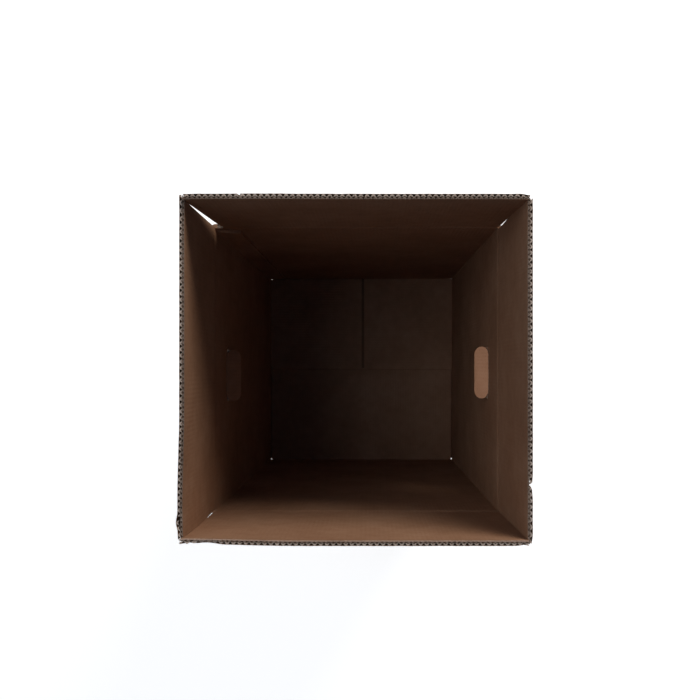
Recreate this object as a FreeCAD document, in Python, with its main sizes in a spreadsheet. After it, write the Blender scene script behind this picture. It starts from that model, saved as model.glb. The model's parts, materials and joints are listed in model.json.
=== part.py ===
"""A large cardboard moving box of double-wall corrugated board, standing open.

Frame: origin in the middle of the footprint at floor level, +Z up, millimetres.
-X is the left wall, +X the right wall, -Y the front wall and +Y the back wall.
The walls, the glue tab and the bottom flaps are one folded sheet. The four top flaps and the two
hand-hole tabs turn on their scores, so each is a body of its own, modelled upright in a frame whose
Y axis is its hinge and then turned into place.
"""
import FreeCAD, Part
import math
import os
import Sketcher

SIZES = [
    # the carton
    ("box_width", 457.2),             # outside, left to right
    ("box_depth", 457.2),             # outside, front to back
    ("crease_height", 711.2),         # floor to the score of the front and back top flaps
    ("board_thickness", 6.6),         # three liners with a C flute and a B flute between them
    ("liner_thickness", 0.4),
    ("corner_radius", 6.0),           # outside of the four upright folds
    ("corner_inner_radius", 1.5),
    ("fold_radius", 5.0),             # outside of the folds under the walls
    ("slot_setback", 9.3),            # from a corner of the box to the side of a bottom flap
    ("layer_gap", 0.4),               # air between one flap and the next where they are stacked
    # bottom flaps
    ("crossing_run", 4.0),            # where the side flaps step up from under to over
    ("bottom_gap", 6.0),              # between the free ends of the left and right bottom flaps
    ("bottom_gap_place", 3.5),        # middle of that gap, to the right of the middle of the box
    # glue tab, inside the back wall at its left end
    ("tab_width", 36.0),
    ("tab_thickness", 5.0),           # pressed a little flatter than the board
    ("tab_end_slope", 14.0),          # how much shorter its free edge is at each end
    ("tab_top_gap", 2.0),             # below the left flap when that is closed
    ("tab_bottom_gap", 22.0),
    # top flaps
    ("flap_length", 228.0),           # score to free edge
    ("hinge_proud", 0.15),            # hinge line, outside the outer face of the board
    ("score_gap", 0.4),               # from the hinge line up to the flap and down to the wall
    ("side_clearance", 0.3),          # from the side of a flap to the next wall's inner face
    ("left_lean", 1.25),              # degrees inwards, as the flaps stand
    ("right_lean", 0.0),
    ("front_lean", 1.05),
    ("back_lean", 1.25),
    # slots between the top flaps: width at the score, and how far up they narrow to nothing
    ("seam_slot_width", 11.8),        # in the back flap, over the glue tab
    ("seam_slot_length", 205.0),
    ("right_slot_width", 2.0),        # in the right flap, at the back
    ("right_slot_length", 90.0),
    ("left_slot_width", 1.6),         # in the left flap, at the front
    ("left_slot_length", 75.0),
    # open flutes along the free edges
    ("rim_flute_depth", 14.0),
    ("flute_margin", 9.5),            # from a side of the flap to the first flute
    ("flute_web", 0.9),               # paper left between one channel and the next
    ("outer_flute_pitch", 7.95),
    ("outer_flute_height", 3.3),
    ("inner_flute_pitch", 6.15),
    ("inner_flute_height", 2.1),
    # hand holes and their tabs
    ("hole_width", 89.0),
    ("hole_height", 32.0),
    ("hole_corner_radius", 15.0),
    ("hole_drop", 95.0),              # from the score of the side flaps to the top of the hole
    ("left_hole_shift", -10.0),       # towards the front
    ("right_hole_shift", -5.8),
    ("cut_gap", 1.1),                 # round a tab, so that its lower edge can swing past the board
    ("tab_push", 42.0),               # degrees that the tabs are pushed inwards
    # wear
    ("notch_width", 8.0),             # tear in the right flap, wide outside and narrow inside
    ("notch_depth", 28.0),
    ("notch_place", -147.0),
    ("nick_width", 4.6),              # nick in the outer liner of the back flap
    ("nick_depth", 9.0),
    ("nick_place", -146.0),
    ("left_nick_width", 3.0),         # nick in the left flap
    ("left_nick_place", -191.0),
    # packing tape
    ("tape_width", 48.0),
    ("tape_thickness", 0.2),
    ("tape_rise", 65.0),              # up the left and right walls
]

doc = FreeCAD.newDocument("moving_box")
sheet = doc.addObject("Spreadsheet::Sheet", "Sizes")
for row, (alias, number) in enumerate(SIZES, start=1):
    sheet.set(f"A{row}", alias.replace("_", " "))
    sheet.set(f"B{row}", str(number))
    sheet.setAlias(f"B{row}", alias)
doc.recompute()

# Places that several pieces share, as expressions on the sheet.
OUT_X = "Sizes.box_width / 2"
OUT_Y = "Sizes.box_depth / 2"
IN_X = "(Sizes.box_width / 2 - Sizes.board_thickness)"
IN_Y = "(Sizes.box_depth / 2 - Sizes.board_thickness)"
FLAP_X = "(Sizes.box_width / 2 - Sizes.slot_setback)"      # half the width of a bottom flap
FLAP_Y = "(Sizes.box_depth / 2 - Sizes.slot_setback)"
TOP_X = f"({IN_X} - Sizes.side_clearance)"                 # half the width of a top flap
TOP_Y = f"({IN_Y} - Sizes.side_clearance)"
LOW_BASE = "Sizes.tape_thickness"
LOW_TOP = "(Sizes.tape_thickness + Sizes.board_thickness)"
HIGH_BASE = "(Sizes.tape_thickness + Sizes.board_thickness + Sizes.layer_gap)"
HIGH_TOP = "(Sizes.tape_thickness + 2 * Sizes.board_thickness + Sizes.layer_gap)"
SLOT_END = "(Sizes.tape_thickness + Sizes.board_thickness + Sizes.layer_gap + Sizes.fold_radius)"
SIDE_CREASE = "(Sizes.crease_height - Sizes.board_thickness - Sizes.layer_gap)"
SIDE_WALL_TOP = f"({SIDE_CREASE} - Sizes.score_gap)"
END_WALL_TOP = "(Sizes.crease_height - Sizes.score_gap)"
TAB_TOP = f"({SIDE_CREASE} - Sizes.board_thickness - Sizes.tab_top_gap)"
TAB_BOTTOM = f"({HIGH_TOP} + Sizes.tab_bottom_gap)"
OVERLAP = "Sizes.liner_thickness"                          # how far one pad runs into the next


def size(alias):
    return float(sheet.get(alias))


def plane(body, role):
    return next(feature for feature in body.Origin.OriginFeatures if feature.Role == role)


def sketch_on(body, name, role, offset="0"):
    """An empty sketch on one of the body's own planes, moved along the plane's normal."""
    sketch = body.newObject("Sketcher::SketchObject", name)
    sketch.AttachmentSupport = [(plane(body, role), "")]
    sketch.MapMode = "FlatFace"
    sketch.setExpression("AttachmentOffset.Base.z", offset)
    return sketch


def bind(sketch, kind, line, point, expression, value):
    """Hold one coordinate of a line's end to an expression."""
    row = sketch.addConstraint(Sketcher.Constraint(kind, -1, 1, line, point, value))
    sketch.setExpression(f"Constraints[{row}]", expression)


def outline(sketch, corners):
    """Draw a closed outline. A corner is (x, y) or (x, y, radius), each an expression."""
    def value(expression):
        found = sketch.evalExpression(expression)
        return float(getattr(found, "Value", found))

    count = len(corners)
    spots = [FreeCAD.Vector(value(corner[0]), value(corner[1]), 0) for corner in corners]
    radii = [value(corner[2]) if len(corner) > 2 else 0.0 for corner in corners]
    enters, leaves = [], []
    for here, spot in enumerate(spots):
        back = (spots[here - 1] - spot).normalize()
        ahead = (spots[(here + 1) % count] - spot).normalize()
        reach = radii[here] / math.tan(back.getAngle(ahead) / 2) if radii[here] else 0.0
        enters.append(spot + back * reach)
        leaves.append(spot + ahead * reach)
    lines = []
    for here in range(count):
        segment = Part.LineSegment(leaves[here], enters[(here + 1) % count])
        lines.append(sketch.addGeometry(segment, False))
    for here, corner in enumerate(corners):
        before, after = lines[here - 1], lines[here]
        if not radii[here]:
            sketch.addConstraint(Sketcher.Constraint("Coincident", before, 2, after, 1))
            bind(sketch, "DistanceX", after, 1, corner[0], spots[here].x)
            bind(sketch, "DistanceY", after, 1, corner[1], spots[here].y)
            continue
        back = (spots[here - 1] - spots[here]).normalize()
        ahead = (spots[(here + 1) % count] - spots[here]).normalize()
        centre = spots[here] + (back + ahead) * radii[here]
        start, end = enters[here] - centre, leaves[here] - centre
        left_turn = start.cross(end).z > 0
        if not left_turn:
            start, end = end, start
        circle = Part.Circle(centre, FreeCAD.Vector(0, 0, 1), radii[here])
        angles = [math.atan2(arm.y, arm.x) for arm in (start, end)]
        arc = sketch.addGeometry(Part.ArcOfCircle(circle, *angles), False)
        first, last = (1, 2) if left_turn else (2, 1)
        sketch.addConstraint(Sketcher.Constraint("Tangent", before, 2, arc, first))
        sketch.addConstraint(Sketcher.Constraint("Tangent", arc, last, after, 1))
        row = sketch.addConstraint(Sketcher.Constraint("Radius", arc, radii[here]))
        sketch.setExpression(f"Constraints[{row}]", corner[2])
    for here, line in enumerate(lines):
        following = (here + 1) % count
        if not (radii[here] or radii[following]):
            continue
        upright = abs(spots[here].x - spots[following].x) < abs(spots[here].y - spots[following].y)
        sketch.addConstraint(Sketcher.Constraint("Vertical" if upright else "Horizontal", line))
        if radii[here] and radii[following]:
            if upright:
                bind(sketch, "DistanceX", line, 1, corners[here][0], spots[here].x)
            else:
                bind(sketch, "DistanceY", line, 1, corners[here][1], spots[here].y)


def rectangle(left, right, low, high, radius=None):
    rounding = () if radius is None else (radius,)
    return [(x, y) + rounding for x, y in ((left, low), (right, low), (right, high), (left, high))]


def pad(body, name, sketch, length, both_ways=False, reverse=False):
    feature = body.newObject("PartDesign::Pad", name)
    feature.Profile = sketch
    feature.setExpression("Length", length)
    if both_ways:
        feature.SideType = "Symmetric"
    feature.Reversed = reverse
    return feature


def pocket(body, name, sketch, length, both_ways=False, reverse=False):
    feature = body.newObject("PartDesign::Pocket", name)
    feature.Profile = sketch
    feature.setExpression("Length", length)
    if both_ways:
        feature.SideType = "Symmetric"
    feature.Reversed = reverse
    return feature


def new_body(name):
    body = doc.addObject("PartDesign::Body", name)
    body.Label = name
    return body


def carton_shell():
    """Four walls, the glue tab and the bottom flaps: one folded sheet."""
    body = new_body("carton_shell")

    ring = sketch_on(body, "wall_ring", "XY_Plane", SLOT_END)
    outline(ring, rectangle(f"-{OUT_X}", OUT_X, f"-{OUT_Y}", OUT_Y, "Sizes.corner_radius"))
    outline(ring, rectangle(f"-{IN_X}", IN_X, f"-{IN_Y}", IN_Y, "Sizes.corner_inner_radius"))
    pad(body, "walls", ring, f"{SIDE_WALL_TOP} - {SLOT_END}")

    # The score of the front and back flaps is one board higher, so that they close over the others.
    for name, side in (("front_score", "-"), ("back_score", "")):
        score = sketch_on(body, name, "YZ_Plane")
        outline(score, [
            (f"{side}{OUT_Y}", f"{SIDE_WALL_TOP} - Sizes.board_thickness"),
            (f"{side}{OUT_Y}", END_WALL_TOP),
            (f"{side}{IN_Y}", f"{END_WALL_TOP} - Sizes.board_thickness"),
            (f"{side}{IN_Y}", f"{SIDE_WALL_TOP} - Sizes.board_thickness"),
        ])
        pad(body, f"{name}_strip", score, f"2 * {FLAP_X}", both_ways=True)

    # The slot over the glue tab is cut down to the lower score.
    slot = sketch_on(body, "seam_slot_foot", "XZ_Plane")
    slot_left, slot_right = f"-{IN_X}", f"-({TOP_X} - Sizes.seam_slot_width)"
    outline(slot, [
        (slot_left, SIDE_WALL_TOP), (slot_right, SIDE_WALL_TOP),
        (slot_right, "Sizes.crease_height"), (slot_left, "Sizes.crease_height"),
    ])
    pocket(body, "seam_slot_cut", slot, "Sizes.box_depth")

    # The other two scores are pressed into the walls, at 45 degrees, so that a flap can lie flat.
    for name, side in (("left_score", "-"), ("right_score", "")):
        score = sketch_on(body, name, "XZ_Plane")
        outline(score, [
            (f"{side}{OUT_X}", SIDE_WALL_TOP),
            (f"{side}{IN_X}", f"{SIDE_WALL_TOP} - Sizes.board_thickness"),
            (f"{side}({IN_X} - Sizes.board_thickness)", f"{SIDE_WALL_TOP} - Sizes.board_thickness"),
            (f"{side}({IN_X} - Sizes.board_thickness)", f"{SIDE_WALL_TOP} + Sizes.board_thickness"),
            (f"{side}{OUT_X}", f"{SIDE_WALL_TOP} + Sizes.board_thickness"),
        ])
        pocket(body, f"{name}_press", score, f"2 * {IN_Y}", both_ways=True)

    # Back wall and the outermost bottom flap: the fold lies on the floor.
    back = sketch_on(body, "back_fold", "YZ_Plane")
    outline(back, [
        (OUT_Y, LOW_BASE, "Sizes.fold_radius"),
        (OUT_Y, f"{SLOT_END} + {OVERLAP}"),
        (IN_Y, f"{SLOT_END} + {OVERLAP}"),
        (IN_Y, LOW_TOP),
        ("Sizes.crossing_run / 2 + Sizes.layer_gap", LOW_TOP),
        ("Sizes.crossing_run / 2 + Sizes.layer_gap", LOW_BASE),
    ])
    pad(body, "back_bottom_flap", back, f"2 * {FLAP_X}", both_ways=True)

    # Front wall and the innermost bottom flap: the fold is one board higher.
    front = sketch_on(body, "front_fold", "YZ_Plane")
    outline(front, [
        (f"-{OUT_Y}", HIGH_BASE, "Sizes.fold_radius"),
        ("-(Sizes.crossing_run / 2 + Sizes.layer_gap)", HIGH_BASE),
        ("-(Sizes.crossing_run / 2 + Sizes.layer_gap)", HIGH_TOP),
        (f"-{IN_Y}", HIGH_TOP),
        (f"-{IN_Y}", f"{HIGH_TOP} + {OVERLAP}"),
        (f"-{OUT_Y}", f"{HIGH_TOP} + {OVERLAP}"),
    ])
    pad(body, "front_bottom_flap", front, f"2 * {FLAP_X}", both_ways=True)

    # Left and right walls stand on the floor.
    for name, side in (("left_foot", "-"), ("right_foot", "")):
        foot = sketch_on(body, name, "XZ_Plane")
        outline(foot, [
            (f"{side}{OUT_X}", LOW_BASE, "Sizes.fold_radius"),
            (f"{side}{OUT_X}", f"{SLOT_END} + {OVERLAP}"),
            (f"{side}{IN_X}", f"{SLOT_END} + {OVERLAP}"),
            (f"{side}{IN_X}", LOW_BASE),
        ])
        pad(body, f"{name}_fold", foot, f"2 * {FLAP_Y}", both_ways=True)

    # Their bottom flaps lie under the front flap and step up over the back flap. The left one
    # fills the front corner and the right one the back corner.
    half_run = "Sizes.crossing_run / 2"
    root = f"({IN_X} + {OVERLAP})"

    def crossing(front_side, back_side):
        return [
            (f"-{front_side}", LOW_BASE), (f"-{half_run}", LOW_BASE), (half_run, HIGH_BASE),
            (back_side, HIGH_BASE), (back_side, HIGH_TOP), (half_run, HIGH_TOP),
            (f"-{half_run}", LOW_TOP), (f"-{front_side}", LOW_TOP),
        ]

    left = sketch_on(body, "left_crossing", "YZ_Plane", f"-{root}")
    outline(left, crossing(TOP_Y, FLAP_Y))
    pad(body, "left_bottom_flap", left, f"{root} + Sizes.bottom_gap_place - Sizes.bottom_gap / 2")
    right = sketch_on(body, "right_crossing", "YZ_Plane", root)
    outline(right, crossing(FLAP_Y, TOP_Y))
    pad(body, "right_bottom_flap", right, f"{root} - Sizes.bottom_gap_place - Sizes.bottom_gap / 2",
        reverse=True)

    # The glue tab carries on from the left wall, inside the back wall.
    tab = sketch_on(body, "glue_tab_face", "XZ_Plane", f"-({IN_Y} + {OVERLAP})")
    tab_root, tab_edge = f"-({IN_X} + {OVERLAP})", f"-({IN_X} - Sizes.tab_width)"
    outline(tab, [
        (tab_root, TAB_BOTTOM), (tab_edge, f"{TAB_BOTTOM} + Sizes.tab_end_slope"),
        (tab_edge, f"{TAB_TOP} - Sizes.tab_end_slope"), (tab_root, TAB_TOP),
    ])
    pad(body, "glue_tab", tab, f"Sizes.tab_thickness + {OVERLAP}")

    # Hand holes, through the left and right walls.
    hole_top = f"{SIDE_CREASE} - Sizes.hole_drop"
    for side in ("left", "right"):
        hole = sketch_on(body, f"{side}_hole_face", "YZ_Plane")
        middle = f"Sizes.{side}_hole_shift"
        outline(hole, rectangle(
            f"{middle} - Sizes.hole_width / 2", f"{middle} + Sizes.hole_width / 2",
            f"{hole_top} - Sizes.hole_height", hole_top, "Sizes.hole_corner_radius"))
        pocket(body, f"{side}_hand_hole", hole, "Sizes.box_width", reverse=side == "right")
    return body


def flute_row(body, name, outer, depth, pitch, width, sides):
    """Open channels along the free edge: triangles between two liners, repeated along the flap."""
    first = f"(-{width} + Sizes.flute_margin)"
    inner = f"({outer} - {depth})"
    wide = f"({pitch} / 2 - Sizes.flute_web)"
    face = sketch_on(body, f"{name}_face", "XY_Plane", "Sizes.flap_length")
    outline(face, [
        (outer, f"{first} - {wide}"), (outer, f"{first} + {wide}"),
        (f"{inner} + Sizes.flute_web / 2", first),
    ])
    if sides == 2:
        next_one = f"({first} + {pitch} / 2)"
        outline(face, [
            (f"{outer} - Sizes.flute_web / 2", next_one),
            (inner, f"{next_one} + {wide}"), (inner, f"{next_one} - {wide}"),
        ])
    cut = pocket(body, f"{name}_cut", face, "Sizes.rim_flute_depth")
    row = body.newObject("PartDesign::LinearPattern", f"{name}_row")
    row.Originals = [cut]
    row.Direction = (face, ["V_Axis"])
    many = f"floor((2 * {width} - 2 * Sizes.flute_margin) / {pitch})"
    row.setExpression("Occurrences", f"{many} + 1")
    row.setExpression("Length", f"{many} * {pitch}")
    body.Tip = row
    return row


def top_flap(name, width, hinge, turn, lean, sides, shape_wear):
    """One upright flap. Its own X points out of the box, Y runs along the hinge and Z is up.

    sides has, for its -Y and its +Y side, the slot there and the name of the flap beyond it.
    """
    body = new_body(name)
    outer = "-Sizes.hinge_proud"
    inner = "-(Sizes.hinge_proud + Sizes.board_thickness)"
    side = sketch_on(body, f"{name}_side", "XZ_Plane")
    outline(side, [
        (outer, "Sizes.score_gap"), (outer, "Sizes.flap_length"), (inner, "Sizes.flap_length"),
        (inner, "Sizes.score_gap + Sizes.board_thickness"),
    ])
    pad(body, f"{name}_panel", side, f"2 * {width}", both_ways=True)
    flute_row(body, f"{name}_outer_flutes", f"({outer} - Sizes.liner_thickness)",
              "Sizes.outer_flute_height", "Sizes.outer_flute_pitch", width, sides=2)
    flute_row(body, f"{name}_inner_flutes",
              f"({outer} - 2 * Sizes.liner_thickness - Sizes.outer_flute_height)",
              "Sizes.inner_flute_height", "Sizes.inner_flute_pitch", width, sides=1)
    for sign, (slot, neighbour) in zip(("-", ""), sides):
        trim_side(body, sign, width, slot, neighbour)
    if shape_wear:
        shape_wear(body)
    tilt = FreeCAD.Rotation(FreeCAD.Vector(0, 1, 0), -size(lean))
    facing = FreeCAD.Rotation(FreeCAD.Vector(0, 0, 1), turn)
    body.Placement = FreeCAD.Placement(hinge, facing * tilt)
    return body


def trim_side(body, sign, width, slot, neighbour):
    """Trim one side of a flap: a slot from the score, then along the flap that leans beside it."""
    if not slot and not size(f"{neighbour}_lean"):
        return
    slope = f"tan(Sizes.{neighbour}_lean * 1deg)"
    beyond = f"({width} + Sizes.board_thickness)"
    top = "(Sizes.flap_length + Sizes.board_thickness)"
    corners = [(beyond, "0"), (beyond, top), (f"({width} - {top} * {slope})", top)]
    if slot:
        end = f"Sizes.{slot}_length"
        corners.append((f"({width} - {end} * {slope})", end))
        corners.append((f"({width} - Sizes.{slot}_width)", "0"))
    else:
        corners.append((width, "0"))
    face_cut(body, f"{body.Label}_{neighbour}_side",
             [(f"{sign}{across}", height) for across, height in corners])


def face_cut(body, name, corners, from_outside=None):
    """Cut an outline, drawn on the flap's face, through the board or only into its outer side."""
    face = sketch_on(body, f"{name}_face", "YZ_Plane")
    outline(face, corners)
    depth = from_outside or "4 * Sizes.board_thickness"
    pocket(body, f"{name}_cut", face, depth, both_ways=True)


def nicked_back_rim(body):
    """A nick in the outer liner of the back flap."""
    place, half = "-Sizes.nick_place", "Sizes.nick_width / 2"
    face_cut(body, "rim_nick", [
        (f"{place} - {half}", "Sizes.flap_length + Sizes.nick_depth"),
        (f"{place} - {half}", "Sizes.flap_length - Sizes.nick_depth"),
        (f"{place} + {half}", "Sizes.flap_length - Sizes.nick_depth"),
        (f"{place} + {half}", "Sizes.flap_length + Sizes.nick_depth"),
    ], from_outside="2 * (Sizes.hinge_proud + Sizes.outer_flute_height / 2)")


def notched_rim(body):
    """A tear from the free edge of the right flap, seen from above as a V down to its inner liner."""
    place, half = "Sizes.notch_place", "Sizes.notch_width / 2"
    face = sketch_on(body, "rim_notch_face", "XY_Plane", "Sizes.flap_length")
    outline(face, [
        ("0", f"{place} - {half}"), ("0", f"{place} + {half}"),
        ("-(Sizes.hinge_proud + Sizes.board_thickness - Sizes.liner_thickness)", place),
    ])
    pocket(body, "rim_notch_cut", face, "Sizes.notch_depth")


def nicked_left_rim(body):
    """A small nick in the outer liner of the left flap."""
    place, half = "-Sizes.left_nick_place", "Sizes.left_nick_width / 2"
    face_cut(body, "left_rim_nick", [
        (f"{place} - {half}", "Sizes.flap_length + Sizes.left_nick_width"),
        (place, "Sizes.flap_length - Sizes.left_nick_width"),
        (f"{place} + {half}", "Sizes.flap_length + Sizes.left_nick_width"),
    ], from_outside="2 * (Sizes.hinge_proud + Sizes.outer_flute_height / 2)")


def handle_flap(name, hinge, turn):
    """The tab cut out of a hand hole, on its hinge line at the inner face of the wall."""
    body = new_body(name)
    face = sketch_on(body, f"{name}_face", "YZ_Plane", "Sizes.hinge_proud")
    half = "(Sizes.hole_width / 2 - Sizes.cut_gap)"
    outline(face, rectangle(
        f"-{half}", half, "-(Sizes.hole_height - Sizes.cut_gap)", "-Sizes.score_gap",
        "Sizes.hole_corner_radius - Sizes.cut_gap"))
    pad(body, f"{name}_board", face, "Sizes.board_thickness")
    push = FreeCAD.Rotation(FreeCAD.Vector(0, 1, 0), size("tab_push"))
    facing = FreeCAD.Rotation(FreeCAD.Vector(0, 0, 1), turn)
    body.Placement = FreeCAD.Placement(hinge, facing * push)
    return body


def bottom_tape():
    """One strip across the bottom seam and a little way up the left and right walls."""
    body = new_body("bottom_tape")
    over = "Sizes.tape_thickness"
    strip = sketch_on(body, "tape_path", "XZ_Plane")
    outline(strip, [
        (f"-({OUT_X} + {over})", "0", f"Sizes.fold_radius + {over}"),
        (f"{OUT_X} + {over}", "0", f"Sizes.fold_radius + {over}"),
        (f"{OUT_X} + {over}", "Sizes.tape_rise"), (OUT_X, "Sizes.tape_rise"),
        (OUT_X, LOW_BASE, "Sizes.fold_radius"), (f"-{OUT_X}", LOW_BASE, "Sizes.fold_radius"),
        (f"-{OUT_X}", "Sizes.tape_rise"), (f"-({OUT_X} + {over})", "Sizes.tape_rise"),
    ])
    pad(body, "tape_strip", strip, "Sizes.tape_width", both_ways=True)
    return body


hinge_x = size("box_width") / 2 + size("hinge_proud")
hinge_y = size("box_depth") / 2 + size("hinge_proud")
high = size("crease_height")
low = high - size("board_thickness") - size("layer_gap")
tab_x = size("box_width") / 2 - size("board_thickness") - size("hinge_proud")
tab_z = low - size("hole_drop")

pieces = [
    carton_shell(),
    top_flap("top_flap_right", TOP_Y, FreeCAD.Vector(hinge_x, 0, low), 0, "right_lean",
             ((None, "front"), ("right_slot", "back")), notched_rim),
    top_flap("top_flap_back", TOP_X, FreeCAD.Vector(0, hinge_y, high), 90, "back_lean",
             ((None, "right"), ("seam_slot", "left")), nicked_back_rim),
    top_flap("top_flap_left", TOP_Y, FreeCAD.Vector(-hinge_x, 0, low), 180, "left_lean",
             ((None, "back"), ("left_slot", "front")), nicked_left_rim),
    top_flap("top_flap_front", TOP_X, FreeCAD.Vector(0, -hinge_y, high), 270, "front_lean",
             ((None, "left"), (None, "right")), None),
    handle_flap("handle_flap_right", FreeCAD.Vector(tab_x, size("right_hole_shift"), tab_z), 0),
    handle_flap("handle_flap_left", FreeCAD.Vector(-tab_x, size("left_hole_shift"), tab_z), 180),
    bottom_tape(),
]
doc.recompute()

for item in doc.Objects:
    if {"Invalid", "Error"} & set(item.State):
        raise RuntimeError(f"{item.Label} could not be made: {item.State}")
for piece in pieces:
    if piece.Shape.isNull() or not piece.Shape.isValid():
        raise RuntimeError(f"{piece.Label} is not a sound solid")
    if len(piece.Shape.Solids) != 1:
        raise RuntimeError(f"{piece.Label} is in {len(piece.Shape.Solids)} lumps")

os.makedirs("parts", exist_ok=True)
for piece in pieces:
    piece.Shape.exportStep(f"parts/{piece.Label}.step")
    box = piece.Shape.BoundBox
    print(f"{piece.Label}: {piece.Shape.Volume / 1000:.1f} cm3,",
          f"x {box.XMin:.1f} to {box.XMax:.1f}, y {box.YMin:.1f} to {box.YMax:.1f},",
          f"z {box.ZMin:.1f} to {box.ZMax:.1f}")
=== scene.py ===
# %% [markdown]
# # A cardboard moving box, standing open
#
# The construction comes from a CAD model: the walls, the four top flaps on their hinges, the two
# pushed-in tabs of the hand holes and the tape below. Here each surface gets its look. The flaps
# are rebuilt as real corrugated board, because their open edges are what one sees first.

# %% Load the frame
import json
import math

import bmesh
import bpy
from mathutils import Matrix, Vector


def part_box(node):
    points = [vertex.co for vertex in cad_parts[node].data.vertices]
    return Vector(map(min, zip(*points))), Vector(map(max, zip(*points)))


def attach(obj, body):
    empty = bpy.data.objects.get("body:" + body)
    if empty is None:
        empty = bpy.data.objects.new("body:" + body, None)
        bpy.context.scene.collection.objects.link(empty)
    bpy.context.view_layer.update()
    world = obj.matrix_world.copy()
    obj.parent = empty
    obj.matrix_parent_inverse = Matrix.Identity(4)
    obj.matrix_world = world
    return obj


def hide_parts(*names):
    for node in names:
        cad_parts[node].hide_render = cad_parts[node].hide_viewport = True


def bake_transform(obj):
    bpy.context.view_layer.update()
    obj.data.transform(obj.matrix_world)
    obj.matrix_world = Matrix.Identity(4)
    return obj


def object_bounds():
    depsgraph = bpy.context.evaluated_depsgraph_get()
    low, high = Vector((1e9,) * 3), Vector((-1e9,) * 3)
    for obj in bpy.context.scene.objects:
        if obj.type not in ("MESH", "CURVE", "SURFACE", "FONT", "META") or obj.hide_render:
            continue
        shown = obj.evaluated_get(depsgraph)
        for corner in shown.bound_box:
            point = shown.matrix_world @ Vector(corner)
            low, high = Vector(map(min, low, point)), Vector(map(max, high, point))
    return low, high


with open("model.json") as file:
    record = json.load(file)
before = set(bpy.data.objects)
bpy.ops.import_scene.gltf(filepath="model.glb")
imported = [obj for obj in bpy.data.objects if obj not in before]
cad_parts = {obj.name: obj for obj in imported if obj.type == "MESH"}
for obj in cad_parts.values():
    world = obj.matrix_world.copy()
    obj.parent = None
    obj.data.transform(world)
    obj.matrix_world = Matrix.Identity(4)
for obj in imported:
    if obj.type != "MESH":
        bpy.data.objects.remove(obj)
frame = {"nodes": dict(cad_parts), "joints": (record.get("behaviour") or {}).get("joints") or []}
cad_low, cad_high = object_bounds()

print("the box is", [round(side, 3) for side in cad_high - cad_low], "m")

# %% [markdown]
# ## Sizes
#
# Double-wall board is five papers: three flat liners with two waved papers, the flutes, between
# them. The outer flute is the coarse one. Each number gets a name here or where it is first used,
# so that it can be changed in one place. FLAP_LENGTH runs from the score to the free edge, and
# HINGE_PROUD is how far the hinge stands in front of the outer face. BOTTOM_GAP is the gap between
# the free ends of the two side flaps in the bottom, and BOTTOM_GAP_PLACE is its middle along X.
# The places of the hinges come from the frame.

# %% Board and places
MM = 0.001
LINER = 0.4 * MM
FLUTE_PAPER = 0.25 * MM
OUTER_FLUTE = 3.3 * MM
INNER_FLUTE = 2.1 * MM
OUTER_PITCH = 7.95 * MM
INNER_PITCH = 6.15 * MM
BOARD = 3 * LINER + OUTER_FLUTE + INNER_FLUTE
FLAP_LENGTH = 228 * MM
SCORE_GAP = 0.4 * MM
HINGE_PROUD = 0.15 * MM
FLOOR_TOP = 13.8 * MM
BOTTOM_GAP = 6 * MM
BOTTOM_GAP_PLACE = 3.5 * MM

HINGES = {joint["child"]: joint["pos_m"] for joint in frame["joints"]}
WALL_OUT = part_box("carton_shell")[1].x
WALL_IN = WALL_OUT - BOARD
HALF_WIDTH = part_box("top_flap_front")[1].x + 0.45 * MM
SHEET_HALF = HALF_WIDTH + 5 * MM
print(f"board {BOARD / MM:.1f} mm thick, flaps {2 * HALF_WIDTH / MM:.1f} mm wide")

# %% [markdown]
# ## Small helpers
#
# Operators act on whatever is selected, so every step starts from an empty selection. Vertices are
# then picked in code, by their place.


# %% Selecting
def only(*pieces):
    """Select these objects alone and make the first one active."""
    if bpy.context.object and bpy.context.object.mode != "OBJECT":
        bpy.ops.object.mode_set(mode="OBJECT")
    bpy.ops.object.select_all(action="DESELECT")
    for piece in pieces:
        piece.select_set(True)
    bpy.context.view_layer.objects.active = pieces[0]


def pick(piece, test):
    """In edit mode, select the vertices whose place passes the test."""
    mesh = bmesh.from_edit_mesh(piece.data)
    for vertex in mesh.verts:
        vertex.select = test(vertex.co)
    mesh.select_flush_mode()
    bmesh.update_edit_mesh(piece.data)


# %% Finishing a mesh
def settle(piece):
    """Put the object's own place, turn and scale into its mesh."""
    only(piece)
    bpy.ops.object.transform_apply(location=True, rotation=True, scale=True)


def apply_modifier(piece, kind, **settings):
    """Add a modifier with these settings and apply it at once."""
    only(piece)
    modifier = piece.modifiers.new(kind.title(), kind)
    for name, value in settings.items():
        setattr(modifier, name, value)
    bpy.ops.object.modifier_apply(modifier=modifier.name)


def cut(piece, place, normal, clear=False):
    """Cut the whole mesh with a plane, and throw away the side the normal points to if asked."""
    only(piece)
    bpy.ops.object.mode_set(mode="EDIT")
    bpy.ops.mesh.select_all(action="SELECT")
    bpy.ops.mesh.bisect(plane_co=place, plane_no=normal, clear_outer=clear)
    bpy.ops.object.mode_set(mode="OBJECT")


def join(name, pieces):
    """Make one object of several, with this name."""
    only(*pieces)
    bpy.ops.object.join()
    pieces[0].name = pieces[0].data.name = name
    return pieces[0]


# %% [markdown]
# ## Finishes
#
# Kraft liner is brown paper: horizontal fibres, dark and pale flecks, slow changes of tone, and
# faint stripes where the flutes show through, called washboarding. Each effect is a node group
# that any board material can use. The patterns follow the place on the sheet (Object coordinates),
# so they stay with a flap when it folds. A painted image would need an unwrapped sheet, and its
# fibres would blur close by.


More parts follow.
